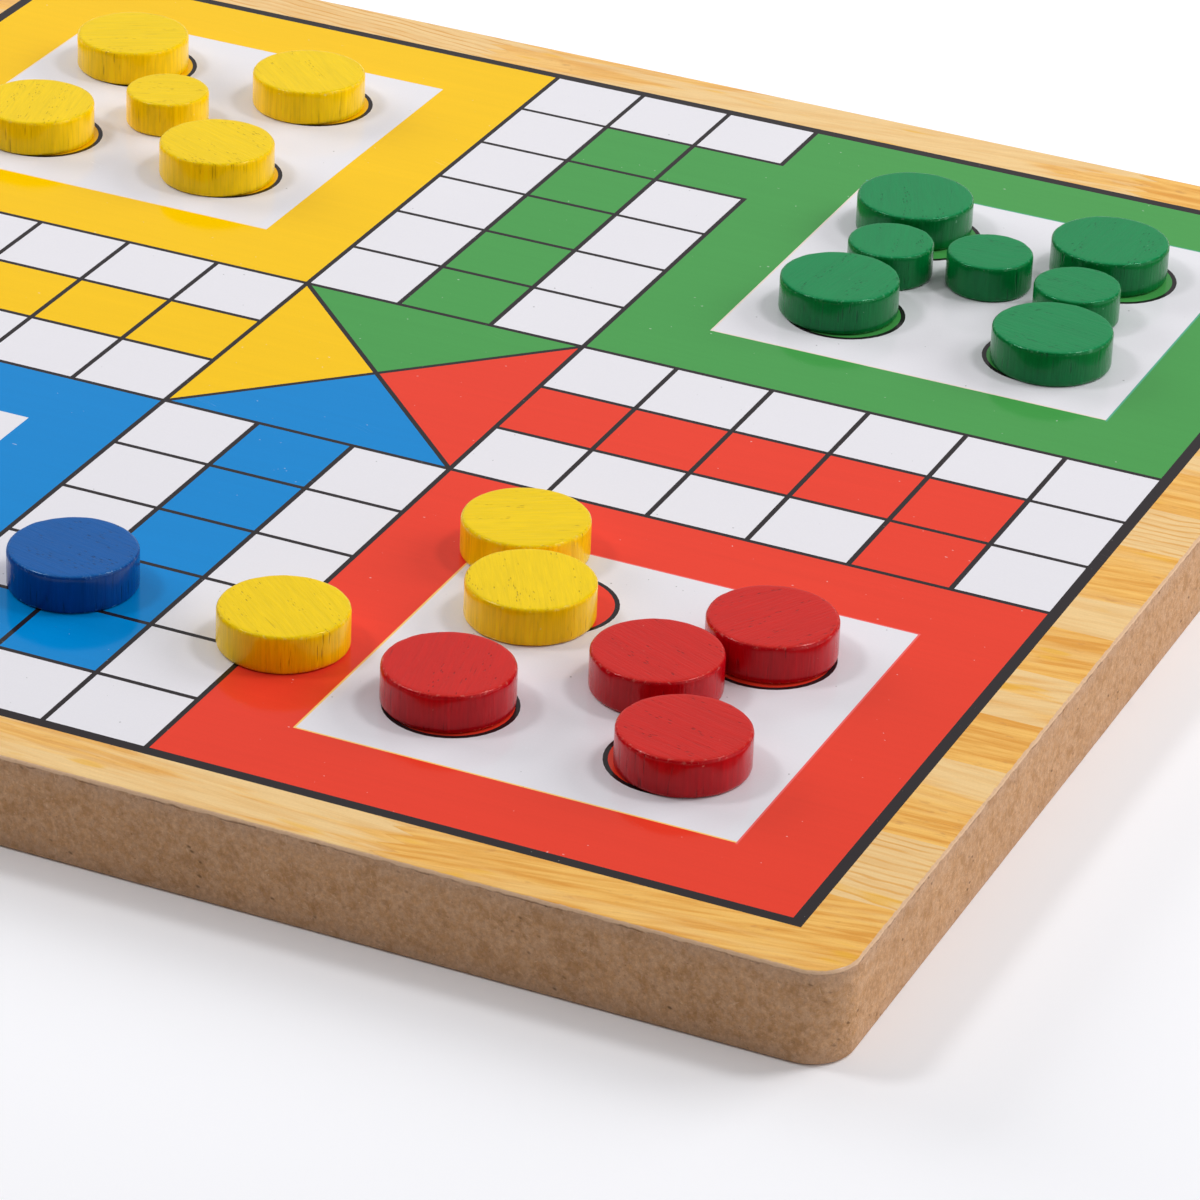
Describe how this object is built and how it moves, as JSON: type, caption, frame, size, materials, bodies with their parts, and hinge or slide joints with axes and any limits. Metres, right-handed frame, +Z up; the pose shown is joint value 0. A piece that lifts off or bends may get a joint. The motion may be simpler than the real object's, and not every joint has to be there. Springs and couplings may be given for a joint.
{
  "type": "two-sided board game",
  "caption": "Square wooden board with a printed ludo face on top and a snakes and ladders face underneath, set with round wooden tokens and a die.",
  "frame": {"origin": "centre of the board's underside, which rests on the table", "axes": "+Z up out of the ludo face; +X along the red arm of the ludo cross and +Y along its green arm"},
  "size_m": [0.33, 0.33, 0.032],
  "materials": {
    "fibreboard": "raw sawn and sanded fibreboard edge, matt",
    "printed_wood": "wood-look print under glossy laminate",
    "printed_black": "black print under glossy laminate",
    "printed_white": "white print under glossy laminate",
    "printed_red": "red print under glossy laminate",
    "printed_green": "green print under glossy laminate",
    "printed_yellow": "yellow print under glossy laminate",
    "printed_blue": "blue print under glossy laminate",
    "printed_brown": "brown print under glossy laminate",
    "printed_dark_green": "dark green print under glossy laminate",
    "red_token_paint": "glossy red paint on turned wood",
    "green_token_paint": "glossy green paint on turned wood",
    "yellow_token_paint": "glossy yellow paint on turned wood",
    "blue_token_paint": "glossy blue paint on turned wood",
    "die_wood": "pale lacquered wood",
    "spot_paint": "black paint"
  },
  "bodies": {
    "board": {"board_core": "fibreboard", "ludo_wood_border": "printed_wood", "ludo_black_lines": "printed_black", "ludo_white_areas": "printed_white", "ludo_red_areas": "printed_red", "ludo_green_areas": "printed_green", "ludo_yellow_areas": "printed_yellow", "ludo_blue_areas": "printed_blue", "snakes_wood_border": "printed_wood", "snakes_black_lines": "printed_black", "snakes_white_squares": "printed_white", "snakes_yellow_squares": "printed_yellow", "snakes_red_squares": "printed_red", "snakes_green_squares": "printed_green", "snakes_blue_squares": "printed_blue", "printed_ladders": "printed_brown", "printed_snakes": "printed_dark_green"},
    "large_red_token_1_body": {"large_red_token_1": "red_token_paint"},
    "large_red_token_2_body": {"large_red_token_2": "red_token_paint"},
    "large_red_token_3_body": {"large_red_token_3": "red_token_paint"},
    "large_red_token_4_body": {"large_red_token_4": "red_token_paint"},
    "large_green_token_1_body": {"large_green_token_1": "green_token_paint"},
    "large_green_token_2_body": {"large_green_token_2": "green_token_paint"},
    "large_green_token_3_body": {"large_green_token_3": "green_token_paint"},
    "large_green_token_4_body": {"large_green_token_4": "green_token_paint"},
    "large_yellow_token_1_body": {"large_yellow_token_1": "yellow_token_paint"},
    "large_yellow_token_2_body": {"large_yellow_token_2": "yellow_token_paint"},
    "large_yellow_token_3_body": {"large_yellow_token_3": "yellow_token_paint"},
    "large_yellow_token_4_body": {"large_yellow_token_4": "yellow_token_paint"},
    "large_yellow_token_5_body": {"large_yellow_token_5": "yellow_token_paint"},
    "large_yellow_token_6_body": {"large_yellow_token_6": "yellow_token_paint"},
    "large_yellow_token_7_body": {"large_yellow_token_7": "yellow_token_paint"},
    "large_blue_token_1_body": {"large_blue_token_1": "blue_token_paint"},
    "large_blue_token_2_body": {"large_blue_token_2": "blue_token_paint"},
    "large_blue_token_3_body": {"large_blue_token_3": "blue_token_paint"},
    "large_blue_token_4_body": {"large_blue_token_4": "blue_token_paint"},
    "small_green_token_1_body": {"small_green_token_1": "green_token_paint"},
    "small_green_token_2_body": {"small_green_token_2": "green_token_paint"},
    "small_green_token_3_body": {"small_green_token_3": "green_token_paint"},
    "small_yellow_token_1_body": {"small_yellow_token_1": "yellow_token_paint"},
    "die_body": {"die": "die_wood", "die_spots": "spot_paint"}
  },
  "joints": [
    {"name": "large_red_token_1_lift", "type": "slide", "parent": "board", "child": "large_red_token_1_body", "axis": [0, 0, 1], "range_m": [0, 0.03]},
    {"name": "large_red_token_2_lift", "type": "slide", "parent": "board", "child": "large_red_token_2_body", "axis": [0, 0, 1], "range_m": [0, 0.03]},
    {"name": "large_red_token_3_lift", "type": "slide", "parent": "board", "child": "large_red_token_3_body", "axis": [0, 0, 1], "range_m": [0, 0.03]},
    {"name": "large_red_token_4_lift", "type": "slide", "parent": "board", "child": "large_red_token_4_body", "axis": [0, 0, 1], "range_m": [0, 0.03]},
    {"name": "large_green_token_1_lift", "type": "slide", "parent": "board", "child": "large_green_token_1_body", "axis": [0, 0, 1], "range_m": [0, 0.03]},
    {"name": "large_green_token_2_lift", "type": "slide", "parent": "board", "child": "large_green_token_2_body", "axis": [0, 0, 1], "range_m": [0, 0.03]},
    {"name": "large_green_token_3_lift", "type": "slide", "parent": "board", "child": "large_green_token_3_body", "axis": [0, 0, 1], "range_m": [0, 0.03]},
    {"name": "large_green_token_4_lift", "type": "slide", "parent": "board", "child": "large_green_token_4_body", "axis": [0, 0, 1], "range_m": [0, 0.03]},
    {"name": "large_yellow_token_1_lift", "type": "slide", "parent": "board", "child": "large_yellow_token_1_body", "axis": [0, 0, 1], "range_m": [0, 0.03]},
    {"name": "large_yellow_token_2_lift", "type": "slide", "parent": "board", "child": "large_yellow_token_2_body", "axis": [0, 0, 1], "range_m": [0, 0.03]},
    {"name": "large_yellow_token_3_lift", "type": "slide", "parent": "board", "child": "large_yellow_token_3_body", "axis": [0, 0, 1], "range_m": [0, 0.03]},
    {"name": "large_yellow_token_4_lift", "type": "slide", "parent": "board", "child": "large_yellow_token_4_body", "axis": [0, 0, 1], "range_m": [0, 0.03]},
    {"name": "large_yellow_token_5_lift", "type": "slide", "parent": "board", "child": "large_yellow_token_5_body", "axis": [0, 0, 1], "range_m": [0, 0.03]},
    {"name": "large_yellow_token_6_lift", "type": "slide", "parent": "board", "child": "large_yellow_token_6_body", "axis": [0, 0, 1], "range_m": [0, 0.03]},
    {"name": "large_yellow_token_7_lift", "type": "slide", "parent": "board", "child": "large_yellow_token_7_body", "axis": [0, 0, 1], "range_m": [0, 0.03]},
    {"name": "large_blue_token_1_lift", "type": "slide", "parent": "board", "child": "large_blue_token_1_body", "axis": [0, 0, 1], "range_m": [0, 0.03]},
    {"name": "large_blue_token_2_lift", "type": "slide", "parent": "board", "child": "large_blue_token_2_body", "axis": [0, 0, 1], "range_m": [0, 0.03]},
    {"name": "large_blue_token_3_lift", "type": "slide", "parent": "board", "child": "large_blue_token_3_body", "axis": [0, 0, 1], "range_m": [0, 0.03]},
    {"name": "large_blue_token_4_lift", "type": "slide", "parent": "board", "child": "large_blue_token_4_body", "axis": [0, 0, 1], "range_m": [0, 0.03]},
    {"name": "small_green_token_1_lift", "type": "slide", "parent": "board", "child": "small_green_token_1_body", "axis": [0, 0, 1], "range_m": [0, 0.03]},
    {"name": "small_green_token_2_lift", "type": "slide", "parent": "board", "child": "small_green_token_2_body", "axis": [0, 0, 1], "range_m": [0, 0.03]},
    {"name": "small_green_token_3_lift", "type": "slide", "parent": "board", "child": "small_green_token_3_body", "axis": [0, 0, 1], "range_m": [0, 0.03]},
    {"name": "small_yellow_token_1_lift", "type": "slide", "parent": "board", "child": "small_yellow_token_1_body", "axis": [0, 0, 1], "range_m": [0, 0.03]},
    {"name": "die_lift", "type": "slide", "parent": "board", "child": "die_body", "axis": [0, 0, 1], "range_m": [0, 0.03]}
  ]
}
